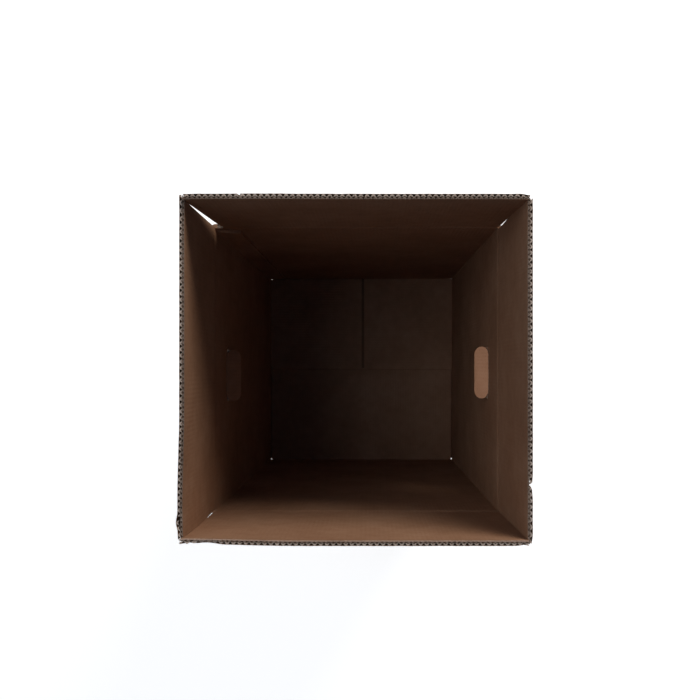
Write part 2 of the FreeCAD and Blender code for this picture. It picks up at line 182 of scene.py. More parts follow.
# %% A new node group
def new_group(name, inputs, outputs):
    """An empty shader group. inputs and outputs are (name, socket type, default) rows."""
    group = bpy.data.node_groups.new(name, "ShaderNodeTree")
    for label, kind, default in inputs:
        socket = group.interface.new_socket(label, in_out="INPUT", socket_type=kind)
        if default is not None:
            socket.default_value = default
    for label, kind in outputs:
        group.interface.new_socket(label, in_out="OUTPUT", socket_type=kind)
    return group, group.nodes.new("NodeGroupInput"), group.nodes.new("NodeGroupOutput")


# %% Nodes that reckon
def math_node(tree, operation, first, second=None):
    """One step of arithmetic on node outputs or plain numbers."""
    node = tree.nodes.new("ShaderNodeMath")
    node.operation = operation
    for place, value in enumerate((first, second)):
        if value is None:
            continue
        if isinstance(value, (int, float)):
            node.inputs[place].default_value = value
        else:
            tree.links.new(value, node.inputs[place])
    return node.outputs[0]


def mix_value(tree, factor, first, second):
    """first where the factor is 0, second where it is 1."""
    difference = math_node(tree, "SUBTRACT", second, first)
    return math_node(tree, "ADD", math_node(tree, "MULTIPLY", factor, difference), first)


def weighted_sum(tree, *parts):
    """Add up parts that are each (value, weight)."""
    total = None
    for value, weight in parts:
        part = math_node(tree, "MULTIPLY", value, weight)
        total = part if total is None else math_node(tree, "ADD", total, part)
    return total


def near(tree, value, centre, half):
    """1 where the value is less than that half width away from the centre, 0 elsewhere."""
    off = math_node(tree, "ABSOLUTE", math_node(tree, "SUBTRACT", value, centre))
    return math_node(tree, "LESS_THAN", off, half)


def all_of(tree, *masks):
    """1 where every mask is 1."""
    product = masks[0]
    for mask in masks[1:]:
        product = math_node(tree, "MULTIPLY", product, mask)
    return product


# %% Nodes that make a pattern
def combine(tree, x, y, z):
    """Make a place from three values or outputs."""
    node = tree.nodes.new("ShaderNodeCombineXYZ")
    for place, value in enumerate((x, y, z)):
        if isinstance(value, (int, float)):
            node.inputs[place].default_value = value
        else:
            tree.links.new(value, node.inputs[place])
    return node.outputs[0]


def noise(tree, vector, scale, detail=2.0, roughness=0.5):
    """Soft random values around 0.5. A larger scale makes smaller spots."""
    node = tree.nodes.new("ShaderNodeTexNoise")
    node.inputs["Scale"].default_value = scale
    node.inputs["Detail"].default_value = detail
    node.inputs["Roughness"].default_value = roughness
    tree.links.new(vector, node.inputs["Vector"])
    return node.outputs[0]


def smooth_step(tree, value, low, high):
    """0 below low, 1 above high and a soft change between."""
    node = tree.nodes.new("ShaderNodeMapRange")
    node.interpolation_type = "SMOOTHSTEP"
    node.inputs["From Min"].default_value = low
    node.inputs["From Max"].default_value = high
    tree.links.new(value, node.inputs["Value"])
    return node.outputs[0]


# %% Where on the sheet: across and along the flutes
def make_sheet_place_group():
    """The flutes run up the walls and on into the bottom flaps, so 'across' changes with place."""
    group, start, end = new_group(
        "sheet_place", [("Vector", "NodeSocketVector", None)],
        [("Across", "NodeSocketFloat"), ("Along", "NodeSocketFloat"),
         ("Outside", "NodeSocketFloat")])
    split = group.nodes.new("ShaderNodeSeparateXYZ")
    group.links.new(start.outputs["Vector"], split.inputs[0])
    x, y, z = split.outputs
    reach_x = math_node(group, "ABSOLUTE", x)
    reach_y = math_node(group, "ABSOLUTE", y)
    side_wall = math_node(group, "GREATER_THAN", reach_x, reach_y)
    reach = math_node(group, "MAXIMUM", reach_x, reach_y)
    inside_walls = math_node(group, "LESS_THAN", reach, WALL_IN - 0.1 * MM)
    low_down = math_node(group, "LESS_THAN", z, FLOOR_TOP + 0.5 * MM)
    bottom = all_of(group, inside_walls, low_down)
    upper_layer = math_node(group, "GREATER_THAN", z, FLOOR_TOP / 2)
    front_half = math_node(group, "LESS_THAN", y, 0.0)
    same = math_node(group, "ABSOLUTE", math_node(group, "SUBTRACT", upper_layer, front_half))
    use_y = mix_value(group, bottom, side_wall, same)
    across = mix_value(group, use_y, x, y)
    other = mix_value(group, use_y, y, x)
    along = mix_value(group, bottom, z, other)
    outside = math_node(group, "GREATER_THAN", reach, WALL_OUT - 2 * MM)
    group.links.new(across, end.inputs["Across"])
    group.links.new(along, end.inputs["Along"])
    group.links.new(outside, end.inputs["Outside"])
    return group


sheet_place = make_sheet_place_group()
print("made the group", sheet_place.name)


# %% Paper fibres and tone
def make_paper_group():
    """Tone (about 0.5 in the middle), flecks (0 to 1) and fibre height, for any paper."""
    group, start, end = new_group(
        "paper_grain",
        [("Vector", "NodeSocketVector", None), ("Across", "NodeSocketFloat", 0.0),
         ("Along", "NodeSocketFloat", 0.0)],
        [("Tone", "NodeSocketFloat"), ("Fleck", "NodeSocketFloat"), ("Height", "NodeSocketFloat")])
    vector, across, along = start.outputs[:3]
    cloud = noise(group, vector, 9.0, 3.0)
    blotch = noise(group, vector, 55.0, 3.0)
    fibre_place = combine(group, math_node(group, "MULTIPLY", across, 0.28), along,
                          math_node(group, "MULTIPLY", noise(group, vector, 3.0), 0.02))
    fibre = noise(group, fibre_place, 1500.0, 3.0, 0.6)
    fine = noise(group, vector, 2600.0, 1.0)
    tone = weighted_sum(group, (cloud, 0.45), (blotch, 0.25), (fibre, 0.30))
    fleck = smooth_step(group, noise(group, fibre_place, 900.0, 2.0, 0.7), 0.62, 0.72)
    height = weighted_sum(group, (fibre, 0.7), (fine, 0.3))
    group.links.new(tone, end.inputs["Tone"])
    group.links.new(fleck, end.inputs["Fleck"])
    group.links.new(height, end.inputs["Height"])
    return group


paper_grain = make_paper_group()
print("made the group", paper_grain.name)


# %% Washboard: the flutes showing through the liner
def make_washboard_group():
    """A ridge for every flute, as height. It is uneven, because the glue lines are."""
    group, start, end = new_group(
        "washboard",
        [("Vector", "NodeSocketVector", None), ("Across", "NodeSocketFloat", 0.0),
         ("Outside", "NodeSocketFloat", 0.0)],
        [("Ridge", "NodeSocketFloat")])
    vector, across, outside = start.outputs[:3]
    waves = []
    for pitch in (INNER_PITCH, OUTER_PITCH):
        turn = math_node(group, "MULTIPLY", across, 2 * math.pi / pitch)
        waves.append(math_node(group, "COSINE", turn))
    wave = mix_value(group, outside, waves[0], waves[1])
    strength = smooth_step(group, noise(group, vector, 14.0, 2.0), 0.25, 0.75)
    ridge = math_node(group, "MULTIPLY", wave, strength)
    group.links.new(ridge, end.inputs["Ridge"])
    return group


washboard = make_washboard_group()
print("made the group", washboard.name)


# %% [markdown]
# ## Layers on the cut walls
#
# The walls are one solid each, so where a slot or a hand hole cuts through them, the five papers
# are drawn on the cut: 1 on paper and 0 in the air between, which gets a near-black colour as
# painted shade for the open flute cells. Real papers would be finer than the eye sees down there.
# The same group marks the narrow gap in the upper layer of the bottom, where the free ends of the
# flaps meet and little light falls in; the materials paint it darker as painted shade.


# %% Layers seen on a cut edge of a CAD wall
CUT_RIM = 0.15 * MM
CORNER_MARGIN = 3 * MM
DRAWN_FLUTE = 0.45 * MM


def draw_papers(group, depth, across):
    """1 on the liners and flutes of a cut wall. depth is measured from its outer face."""
    off_middle = math_node(group, "ABSOLUTE", math_node(group, "SUBTRACT", depth, BOARD / 2))
    paper = math_node(group, "GREATER_THAN", off_middle, BOARD / 2 - LINER)
    layers = ((LINER + OUTER_FLUTE / 2, OUTER_FLUTE, OUTER_PITCH),
              (2 * LINER + OUTER_FLUTE + INNER_FLUTE / 2, INNER_FLUTE, INNER_PITCH))
    for centre, height, pitch in layers:
        turn = math_node(group, "MULTIPLY", across, 2 * math.pi / pitch)
        swing = math_node(group, "MULTIPLY", math_node(group, "COSINE", turn),
                          (height - FLUTE_PAPER) / 2)
        below = math_node(group, "SUBTRACT", depth, centre)
        wave = near(group, below, swing, DRAWN_FLUTE)
        paper = math_node(group, "MAXIMUM", paper, wave)
    flat = near(group, depth, 1.5 * LINER + OUTER_FLUTE, LINER / 2)
    return math_node(group, "MAXIMUM", paper, flat)


def make_cut_face_group():
    """Where a wall is cut through (Cut), its papers (Paper), and the bottom gap for painted shade
    (Gap).
    """
    group, start, end = new_group(
        "cut_face", [("Vector", "NodeSocketVector", None), ("Across", "NodeSocketFloat", 0.0)],
        [("Cut", "NodeSocketFloat"), ("Paper", "NodeSocketFloat"), ("Gap", "NodeSocketFloat")])
    vector, across = start.outputs[:2]
    split = group.nodes.new("ShaderNodeSeparateXYZ")
    group.links.new(vector, split.inputs[0])
    x, y, z = split.outputs
    reach_x = math_node(group, "ABSOLUTE", x)
    reach_y = math_node(group, "ABSOLUTE", y)
    reach = math_node(group, "MAXIMUM", reach_x, reach_y)
    depth = math_node(group, "SUBTRACT", WALL_OUT, reach)
    in_wall = near(group, depth, BOARD / 2, BOARD / 2 - CUT_RIM)
    above_floor = math_node(group, "GREATER_THAN", z, FLOOR_TOP + 1 * MM)
    off_corner = math_node(group, "LESS_THAN", math_node(group, "MINIMUM", reach_x, reach_y),
                           WALL_IN - CORNER_MARGIN)
    behind = math_node(group, "GREATER_THAN", y, 0.0)
    in_gap = near(group, x, BOTTOM_GAP_PLACE, BOTTOM_GAP / 2 + 0.2 * MM)
    between = near(group, z, FLOOR_TOP / 2, FLOOR_TOP / 2 - 1 * MM)
    group.links.new(all_of(group, in_wall, above_floor, off_corner), end.inputs["Cut"])
    group.links.new(draw_papers(group, depth, across), end.inputs["Paper"])
    group.links.new(all_of(group, behind, in_gap, between), end.inputs["Gap"])
    return group


cut_face = make_cut_face_group()
print("made the group", cut_face.name)

# %% [markdown]
# ## The paper finishes
#
# The liner is the brown face. A cut edge is the same paper seen end-on: greyer and fuzzy, and pale
# where it is frayed. On the two outer papers the cut edge is paler still, partly for the fraying
# and partly as painted light for the light that the rim catches. The flute paper inside is recycled
# and duller. They share the groups above, each with its own colours, so that one change to the
# grain reaches them all.


# %% Parts of a material
def new_material(name):
    """A material with its node tree and its Principled BSDF."""
    material = bpy.data.materials.new(name)
    material.use_nodes = True
    tree = material.node_tree
    return material, tree, tree.nodes["Principled BSDF"]


def add_group(tree, group, links):
    """Put a node group in a material, feed its inputs and give back its outputs."""
    node = tree.nodes.new("ShaderNodeGroup")
    node.node_tree = group
    for label, value in links.items():
        tree.links.new(value, node.inputs[label])
    return node.outputs


def tone_ramp(tree, tone, stops):
    """Turn a tone into a colour. stops lists (tone, colour) from dark to pale."""
    ramp = tree.nodes.new("ShaderNodeValToRGB")
    elements = ramp.color_ramp.elements
    for element, (place, colour) in zip(elements, (stops[0], stops[-1])):
        element.position = place
        element.color = (*colour, 1)
    for place, colour in stops[1:-1]:
        elements.new(place).color = (*colour, 1)
    tree.links.new(tone, ramp.inputs["Fac"])
    return ramp.outputs["Color"]


def mix_colour(tree, factor, first, second, blend="MIX"):
    """first where the factor is 0. Each is a colour output or a plain (red, green, blue)."""
    node = tree.nodes.new("ShaderNodeMix")
    node.data_type = "RGBA"
    node.blend_type = blend
    tree.links.new(factor, node.inputs["Factor"])
    for label, colour in (("A", first), ("B", second)):
        if isinstance(colour, tuple):
            node.inputs[label].default_value = (*colour, 1)
        else:
            tree.links.new(colour, node.inputs[label])
    return node.outputs["Result"]


def bump(tree, height, strength, distance):
    """Turn a height into a normal, as if the surface rose by up to that distance."""
    node = tree.nodes.new("ShaderNodeBump")
    node.inputs["Strength"].default_value = strength
    node.inputs["Distance"].default_value = distance
    tree.links.new(height, node.inputs["Height"])
    return node.outputs["Normal"]


# %% Board material
PAPER_GLOSS = 0.08
FLECK_SHADE = (0.62, 0.58, 0.55)
# The colour between the drawn papers is painted shade, for the dark open flute cells.
CELL_PAINTED_SHADE = (0.07, 0.05, 0.035)
CUT_SHADE = (0.42, 0.33, 0.265)
# The bottom gap is multiplied by this colour: painted shade, since little light falls in there.
GAP_PAINTED_SHADE = (0.62, 0.58, 0.56)


def add_cut_layers(tree, place, across, colour):
    """Lay the papers of a cut wall, and the painted shade of the bottom gap, over the liner's
    colour.
    """
    edge = add_group(tree, cut_face, {"Vector": place, "Across": across})
    papers = mix_colour(tree, edge["Paper"], CELL_PAINTED_SHADE, CUT_SHADE)
    colour = mix_colour(tree, edge["Cut"], colour, papers)
    return mix_colour(tree, edge["Gap"], colour, GAP_PAINTED_SHADE, "MULTIPLY")


def paper_material(name, dark, middle, pale, stripes, grain, roughness, layers=False):
    """A paper finish. dark, middle and pale are the colours that its tone runs through."""
    material, tree, shader = new_material(name)
    shader.inputs["Specular IOR Level"].default_value = PAPER_GLOSS
    place = tree.nodes.new("ShaderNodeTexCoord").outputs["Object"]
    sheet = add_group(tree, sheet_place, {"Vector": place})
    across = sheet["Across"]
    paper = add_group(tree, paper_grain,
                      {"Vector": place, "Across": across, "Along": sheet["Along"]})
    ridges = add_group(tree, washboard,
                       {"Vector": place, "Across": across, "Outside": sheet["Outside"]})
    tone = math_node(tree, "ADD", paper["Tone"],
                     math_node(tree, "MULTIPLY", ridges["Ridge"], stripes * 0.05))
    colour = tone_ramp(tree, tone, [(0.36, dark), (0.5, middle), (0.64, pale)])
    fleck = math_node(tree, "MULTIPLY", paper["Fleck"], 0.55)
    colour = mix_colour(tree, fleck, colour, FLECK_SHADE, "MULTIPLY")
    if layers:
        colour = add_cut_layers(tree, place, across, colour)
    tree.links.new(colour, shader.inputs["Base Color"])
    rough = math_node(tree, "ADD", math_node(tree, "MULTIPLY", paper["Fleck"], 0.05), roughness)
    tree.links.new(rough, shader.inputs["Roughness"])
    height = weighted_sum(tree, (paper["Height"], grain), (ridges["Ridge"], stripes))
    tree.links.new(bump(tree, height, 0.6, 0.2 * MM), shader.inputs["Normal"])
    return material


# %% The papers of this box
LINER_BROWNS = ((0.31, 0.160, 0.091), (0.365, 0.197, 0.116), (0.42, 0.240, 0.148))
LINER_GRAIN = {"stripes": 0.5, "grain": 0.6, "roughness": 0.86}
EDGE_GRAIN = {"stripes": 0.0, "grain": 1.0, "roughness": 0.92}

kraft_liner = paper_material("kraft_liner", *LINER_BROWNS, **LINER_GRAIN)
# The two outer papers' cut edges: paler where frayed, and paler still as painted light on the rim.
pale_edge_painted_light = paper_material("pale_edge_painted_light", (0.48, 0.358, 0.280), (0.63, 0.485, 0.385),
                           (0.75, 0.595, 0.485), **EDGE_GRAIN)
cut_edge = paper_material("cut_edge", (0.25, 0.176, 0.132), (0.34, 0.245, 0.187),
                          (0.43, 0.320, 0.250), **EDGE_GRAIN)
flute_paper = paper_material("flute_paper", (0.22, 0.155, 0.110), (0.29, 0.205, 0.150),
                             (0.35, 0.255, 0.190), stripes=0.0, grain=0.6, roughness=0.92)
wall_kraft = paper_material("wall_kraft", *LINER_BROWNS, **LINER_GRAIN, layers=True)
fresh_kraft = paper_material("fresh_kraft", (0.52, 0.330, 0.235), (0.66, 0.425, 0.305),
                             (0.74, 0.490, 0.365), **LINER_GRAIN)
finishes = (kraft_liner, pale_edge_painted_light, cut_edge, flute_paper, wall_kraft, fresh_kraft)
print("made", *(material.name for material in finishes))

# %% [markdown]
# ## Packing tape
#
# The tape is brown plastic film with its glue behind it: glossy, a little streaked along its
# length, and finely wrinkled. Stretched noise gives the streaks. The tape runs along X, so the
# noise is squeezed in Y.


# %% Tape material
TAPE_STRETCH = (0.4, 5.0, 0.4)
TAPE_DARK = (0.44, 0.26, 0.125)
TAPE_PALE = (0.54, 0.335, 0.175)


def tape_material():
    """Brown film: the glue's streaks change its colour and its gloss."""
    material, tree, shader = new_material("packing_tape")
    place = tree.nodes.new("ShaderNodeTexCoord").outputs["Object"]
    stretch = tree.nodes.new("ShaderNodeMapping")
    stretch.inputs["Scale"].default_value = TAPE_STRETCH
    tree.links.new(place, stretch.inputs["Vector"])
    along = stretch.outputs["Vector"]
    glue = noise(tree, along, 40.0, 4.0, 0.6)
    colour = tone_ramp(tree, glue, [(0.35, TAPE_DARK), (0.65, TAPE_PALE)])
    tree.links.new(colour, shader.inputs["Base Color"])
    rough = math_node(tree, "ADD", math_node(tree, "MULTIPLY", glue, 0.2), 0.14)
    tree.links.new(rough, shader.inputs["Roughness"])
    wrinkles = noise(tree, along, 12.0, 3.0, 0.5)
    tree.links.new(bump(tree, wrinkles, 0.5, 0.8 * MM), shader.inputs["Normal"])
    return material


packing_tape = tape_material()
print("made", packing_tape.name)

# %% [markdown]
# ## Real corrugated board
#
# Each paper starts as a grid. A flute is one wave of eight columns, moved in and out and then
# copied along the board by an Array modifier. The papers stay thin surfaces while they are cut and
# bent, and Solidify thickens them at the end. The board is drawn with its hinge as the Y axis,
# upright, with its outer face towards +X. Cuts near the free edge let that edge be dented, and a
# vertex group there says where the cut papers are frayed.


# %% A flat paper
RIM_CUTS = [1 * MM, 2.5 * MM, 5 * MM, 10 * MM, 20 * MM, 40 * MM, 80 * MM, 140 * MM]
RIM_BAND = 1.5 * MM


def upright_grid(name, depth, left, width, columns):
    """A flat paper. Its foot stands on the 45 degree face beside the score."""
    foot = SCORE_GAP + depth
    bpy.ops.object.select_all(action="DESELECT")
    bpy.ops.mesh.primitive_grid_add(
        x_subdivisions=columns, y_subdivisions=1, size=1, rotation=(math.pi / 2, 0, math.pi / 2),
        location=(-HINGE_PROUD - depth, left + width / 2, (foot + FLAP_LENGTH) / 2))
    piece = bpy.context.object
    piece.name = piece.data.name = name
    piece.scale = (width, FLAP_LENGTH - foot, 1)
    settle(piece)
    for drop in RIM_CUTS:
        cut(piece, (0, 0, FLAP_LENGTH - drop), (0, 0, 1))
    return piece


def mark_frayed(piece, test):
    """Mark the points at the rim where the cut paper is frayed and so thicker."""
    frayed = piece.vertex_groups.new(name="frayed")
    for vertex in piece.data.vertices:
        at_rim = vertex.co.z > FLAP_LENGTH - RIM_BAND
        frayed.add([vertex.index], 1.0 if at_rim and test(vertex.co) else 0.0, "REPLACE")


def liner(name, depth, columns):
    """One flat paper over the whole flap. Its middle is at that depth below the outer face."""
    piece = upright_grid(name, depth, -SHEET_HALF, 2 * SHEET_HALF, columns)
    mark_frayed(piece, lambda spot: True)
    return piece


# %% A waved paper
# The nine columns of one wave, from -1 (inside) to 1 (outside). The crests on the outside are
# broad and fray, so the cells that stay open lie at the outer face.
WAVE = [-1.0, -0.92, 0.35, 0.95, 1.0, 0.95, 0.35, -0.92, -1.0]
WAVE_STEPS = len(WAVE) - 1
WAVE_START = 0.15


def flute(name, depth, height, pitch):
    """One waved paper over the whole flap. Its middle is at that depth."""
    swing = (height - FLUTE_PAPER) / 2
    first = -SHEET_HALF - WAVE_START * pitch
    piece = upright_grid(name, depth, first, pitch, WAVE_STEPS)
    bpy.ops.object.mode_set(mode="EDIT")
    for column, rise in enumerate(WAVE):
        place = first + pitch * column / WAVE_STEPS
        pick(piece, lambda spot: abs(spot.y - place) < pitch / (4 * WAVE_STEPS))
        bpy.ops.transform.translate(value=(swing * rise, 0, 0))
    bpy.ops.object.mode_set(mode="OBJECT")
    mark_frayed(piece, lambda spot: spot.x > -HINGE_PROUD - depth)
    count = math.ceil(2 * SHEET_HALF / pitch) + 1
    apply_modifier(piece, "ARRAY", use_relative_offset=False, use_constant_offset=True,
                   constant_offset_displace=(0, pitch, 0), count=count,
                   use_merge_vertices=True, merge_threshold=0.05 * MM)
    return piece


# %% The five papers
middle = LINER + OUTER_FLUTE
pattern = [
    liner("outer_liner", LINER / 2, 90),
    flute("outer_flute", LINER + OUTER_FLUTE / 2, OUTER_FLUTE, OUTER_PITCH),
    liner("middle_liner", middle + LINER / 2, 45),
    flute("inner_flute", middle + LINER + INNER_FLUTE / 2, INNER_FLUTE, INNER_PITCH),
    liner("inner_liner", BOARD - LINER / 2, 90),
]
print("one board has", sum(len(sheet.data.polygons) for sheet in pattern), "faces")

# %% [markdown]
# ## Cutting
#
# The slots between the flaps are cut first: each narrows upwards, and above it the side of the
# flap follows the flap that leans beside it. On the real box one knife makes the slots in the flat
# sheet, and here a plane cuts every paper of the board at once.

# %% How the flaps stand
# LEAN is in degrees inwards. SIDES names the flaps before and after, and the slot's width and
# length where there is one. CORNER_REACH is how far the two rim corners reach to each side.
LEAN = {"right_flap": -0.4, "back_flap": 1.25, "left_flap": 1.25, "front_flap": 0.85}
FACING = {"right_flap": 0, "back_flap": 90, "left_flap": 180, "front_flap": 270}
SIDES = {
    "right_flap": ("front_flap", "back_flap", (3.0 * MM, 74 * MM)),
    "back_flap": ("right_flap", "left_flap", (11.8 * MM, 205 * MM)),
    "left_flap": ("back_flap", "front_flap", (2.4 * MM, 95 * MM)),
    "front_flap": ("left_flap", "right_flap", None),
}
CORNER_REACH = {"right_flap": (224.5 * MM, 219.5 * MM), "back_flap": (225 * MM, 217 * MM),
                "left_flap": (223.8 * MM, 218.5 * MM), "front_flap": (221.6 * MM, 224 * MM)}
print("the flaps lean", LEAN)


# %% Moving the free edge
def push(sheets, place, reach, move):
    """Move the free edge at that place, fading to nothing at the reach."""
    for sheet in sheets:
        only(sheet)
        spots = [vertex.co for vertex in sheet.data.vertices]
        centre = min(spots, key=lambda spot: abs(spot.y - place) + 4 * abs(spot.z - FLAP_LENGTH))
        centre = centre.copy()
        bpy.ops.object.mode_set(mode="EDIT")
        pick(sheet, lambda spot: (spot - centre).length < 0.1 * MM)
        bpy.ops.transform.translate(value=move, use_proportional_edit=True,
                                    proportional_edit_falloff="SMOOTH", proportional_size=reach)
        bpy.ops.object.mode_set(mode="OBJECT")


# %% Slots and sides
CORNER_PULL = 30 * MM


def trim_line(sheets, sign, foot, top):
    """Cut away what lies beyond a line on the flap, from (reach, height) to (reach, height)."""
    (low_reach, low), (high_reach, high) = foot, top
    for sheet in sheets:
        cut(sheet, (0, sign * low_reach, low), (0, sign * (high - low), low_reach - high_reach),
            clear=True)


def rim_reach(neighbour):
    """How far the rim of a flap may reach before it meets the flap that leans beside it."""
    return HALF_WIDTH - FLAP_LENGTH * math.tan(math.radians(LEAN[neighbour]))


def trim(body, sheets):
    """Each side ends on the face of the flap beside it, which leans. Slots are cut below."""
    before, after, slot = SIDES[body]
    trim_line(sheets, -1, (HALF_WIDTH, 0), (rim_reach(before), FLAP_LENGTH))
    trim_line(sheets, 1, (HALF_WIDTH, 0), (rim_reach(after), FLAP_LENGTH))
    if slot:
        width, length = slot
        slope = math.tan(math.radians(LEAN[after]))
        trim_line(sheets, 1, (HALF_WIDTH - width, 0), (HALF_WIDTH - length * slope, length))
    near_end, far_end = CORNER_REACH[body]
    push(sheets, -rim_reach(before), CORNER_PULL, (0, rim_reach(before) - near_end, 0))
    push(sheets, rim_reach(after), CORNER_PULL, (0, far_end - rim_reach(after), 0))


# %% [markdown]
# ## Wear
#
# What happened in use differs from flap to flap: a torn notch, a nick, a crushed corner, an edge
# that bows. A dent is a move with proportional editing, the same on every paper, or only on the
# outer ones that were hit. The free edge is then roughened by a seeded random move, so that it
# comes out the same each time.

# %% Dents
# Each dent: how many papers it bends, counted from outside, its place along the free edge, its
# reach and its move out, along and up, all in millimetres.
DENTS = {
    "right_flap": [(3, -150, 17, (-1.2, 0, 0)), (2, -221, 9, (-1.2, 0.6, -1))],
    "back_flap": [(5, 120, 110, (0.4, 0, 0)), (2, -221, 9, (-1.4, 0.6, -1))],
    "left_flap": [(5, 170, 120, (2.4, 0, 0)), (2, 198, 13, (2.6, 0, -1.5))],
    "front_flap": [(5, -216, 150, (-2.4, 0, 0)), (2, -186, 26, (-2.2, 0, -1)),
                   (1, -212, 12, (-1.5, 0, -3)), (2, 218, 8, (-1.4, 0, -1))],
}


def bend(body, sheets):
    """Give a flap its dents, in their order."""
    for papers, place, reach, move in DENTS[body]:
        push(sheets[:papers], place * MM, reach * MM, [step * MM for step in move])


print("dents:", {body: len(dents) for body, dents in DENTS.items()})


# %% A frayed edge
# At the free edge a frayed flute fills FLUTE_FILL of its own height, and elsewhere its paper has
# FLUTE_PLAIN of that thickness. FACES_SIDE and FACES_UP tell a cut face by its normal.
FRAY = 0.22 * MM
FREE_EDGE = 0.5 * MM
EDGE_BAND = 0.6 * MM
FLUTE_FILL = 0.65
FLUTE_PLAIN = 0.12
TORN_LINER = 1.6 * MM
FACES_SIDE = 0.8
FACES_UP = 0.6


def fray(sheet, size, seed):
    """Rough up the free edge a little, the same way every time the script runs."""
    only(sheet)
    bpy.ops.object.mode_set(mode="EDIT")
    pick(sheet, lambda spot: spot.z > FLAP_LENGTH - FREE_EDGE)
    bpy.ops.transform.vertex_random(offset=size, seed=seed)
    bpy.ops.object.mode_set(mode="OBJECT")


def thicken(sheet, body):
    """Give a paper its thickness, more where its cut edge is frayed, and its face colour."""
    if "flute" in sheet.name:
        height = OUTER_FLUTE if "outer" in sheet.name else INNER_FLUTE
        apply_modifier(sheet, "SOLIDIFY", thickness=FLUTE_FILL * height, offset=-1,
                       vertex_group="frayed", thickness_vertex_group=FLUTE_PLAIN)
        sheet.data.materials.append(flute_paper)
    else:
        rim = TORN_LINER if is_torn(sheet, body) else LINER
        apply_modifier(sheet, "SOLIDIFY", thickness=rim, offset=0, vertex_group="frayed",
                       thickness_vertex_group=LINER / rim)
        sheet.data.materials.append(kraft_liner)


def is_torn(sheet, body):
    """The inner liner of the front flap is torn along its edge, which shows fresh paper."""
    return "inner_liner" in sheet.name and body == "front_flap"


def paint_edge(sheet, edge):
    """Paint the cut faces of a paper: its sides, its rim and the rough band of a flute."""
    sheet.data.materials.append(edge)
    for polygon in sheet.data.polygons:
        side = "liner" in sheet.name and abs(polygon.normal.y) > FACES_SIDE
        high = polygon.center.z > FLAP_LENGTH - EDGE_BAND
        flat = abs(polygon.normal.z) > FACES_UP
        polygon.material_index = 1 if side or flat or (high and "flute" in sheet.name) else 0


def finish_papers(body, sheets):
    """Fray, thicken and paint the papers. The outer two are palest at the rim, partly as painted
    light.
    """
    for place, sheet in enumerate(sheets):
        fray(sheet, FRAY, place)
        thicken(sheet, body)
        # The outer papers' paler edge is partly frayed paper and partly painted light.
        edge = pale_edge_painted_light if place < 2 else cut_edge
        paint_edge(sheet, fresh_kraft if is_torn(sheet, body) else edge)


# %% [markdown]
# ## Tears
#
# A tear takes a wedge out of the papers: wide at the outer face, sharp at the inner one. A
# Boolean modifier cuts it. The frayed flutes cross themselves, so for them it allows for that.


# %% Wedges
WEDGE_SHARP = 0.02
WEDGE_WIDE = 2
WEDGE_FOOT = 0.35


def cutter(place, half, depth, inner):
    """A wedge that reaches down from the free edge, wide outside and sharp at that depth."""
    bpy.ops.object.select_all(action="DESELECT")
    bpy.ops.mesh.primitive_cube_add(size=1, location=(0, place, FLAP_LENGTH - depth / 2))
    piece = bpy.context.object
    piece.scale = (2 * inner, 2 * half, depth + 2 * MM)
    settle(piece)
    bpy.ops.object.mode_set(mode="EDIT")
    pick(piece, lambda spot: spot.x < 0)
    bpy.ops.transform.resize(value=(1, WEDGE_SHARP, 1), center_override=(0, place, 0))
    pick(piece, lambda spot: spot.x > 0)
    bpy.ops.transform.resize(value=(1, WEDGE_WIDE, 1), center_override=(0, place, 0))
    pick(piece, lambda spot: spot.z < FLAP_LENGTH - depth / 2)
    bpy.ops.transform.resize(value=(1, WEDGE_FOOT, 1), center_override=(0, place, 0))
    bpy.ops.object.mode_set(mode="OBJECT")
    return piece


def tear(sheets, place, half, depth, inner):
    """Take a wedge out of the papers."""
    wedge = cutter(place, half, depth, inner)
    for sheet in sheets:
        apply_modifier(sheet, "BOOLEAN", object=wedge, operation="DIFFERENCE", solver="EXACT",
                       use_self="flute" in sheet.name)
    only(wedge)
    bpy.ops.object.delete()


# Each tear: how many papers, its place, half its width, its length and its depth into the board.
TEARS = {
    "right_flap": (5, -150 * MM, 6 * MM, 28 * MM, 5.6 * MM),
    "back_flap": (2, 146 * MM, 2.3 * MM, 9 * MM, 3 * MM),
    "left_flap": (2, 191 * MM, 1.8 * MM, 8 * MM, 2.2 * MM),
}


# %% [markdown]
# ## The four flaps
#
# The pattern is copied for each flap, so that each has its own mesh, and then cut, bent, frayed
# and torn. The foot of a flap ends on a 45 degree face, as a scored board does, which leaves room
# for the fold. Each board takes the place of its CAD flap and rides on that flap's hinge.


# %% Copy, shape and place the four boards
def copy_board():
    """A fresh copy of the five papers."""
    copies = []
    for sheet in pattern:
        twin = sheet.copy()
        twin.data = sheet.data.copy()
        bpy.context.collection.objects.link(twin)
        copies.append(twin)
    return copies


for body in FACING:
    sheets = copy_board()
    for sheet in sheets:
        cut(sheet, (-HINGE_PROUD, 0, SCORE_GAP), (-1, 0, -1), clear=True)
    trim(body, sheets)
    bend(body, sheets)
    finish_papers(body, sheets)
    if body in TEARS:
        count, *wedge = TEARS[body]
        tear(sheets[:count], *wedge)
    board = join(f"{body}_board", sheets)
    board.rotation_euler = (0, -math.radians(LEAN[body]), math.radians(FACING[body]))
    board.location = HINGES[body]
    settle(board)
    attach(board, body)
    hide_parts("top_flap_" + body.split("_")[0])
    print(board.name, len(board.data.polygons), "faces")

# %% [markdown]
# ## The tabs of the hand holes
#
# A tab is the same board, cut out on three sides and pushed in. Each is a piece of the pattern's
# papers, cut to length at its top and trimmed with a rounded block, so its layers show at its
# edges. A solid block with painted edges would be quicker, but it would look flat from close by.

# %% The outline of a tab
HOLE_HALF = 44.5 * MM
TAB_HEIGHT = 30.9 * MM
TAB_TOP = 0.4 * MM
TAB_CORNER = 13.9 * MM
TAB_PUSH = 42
TAB_FROM = 120 * MM
TAB_SPARE = 5 * MM


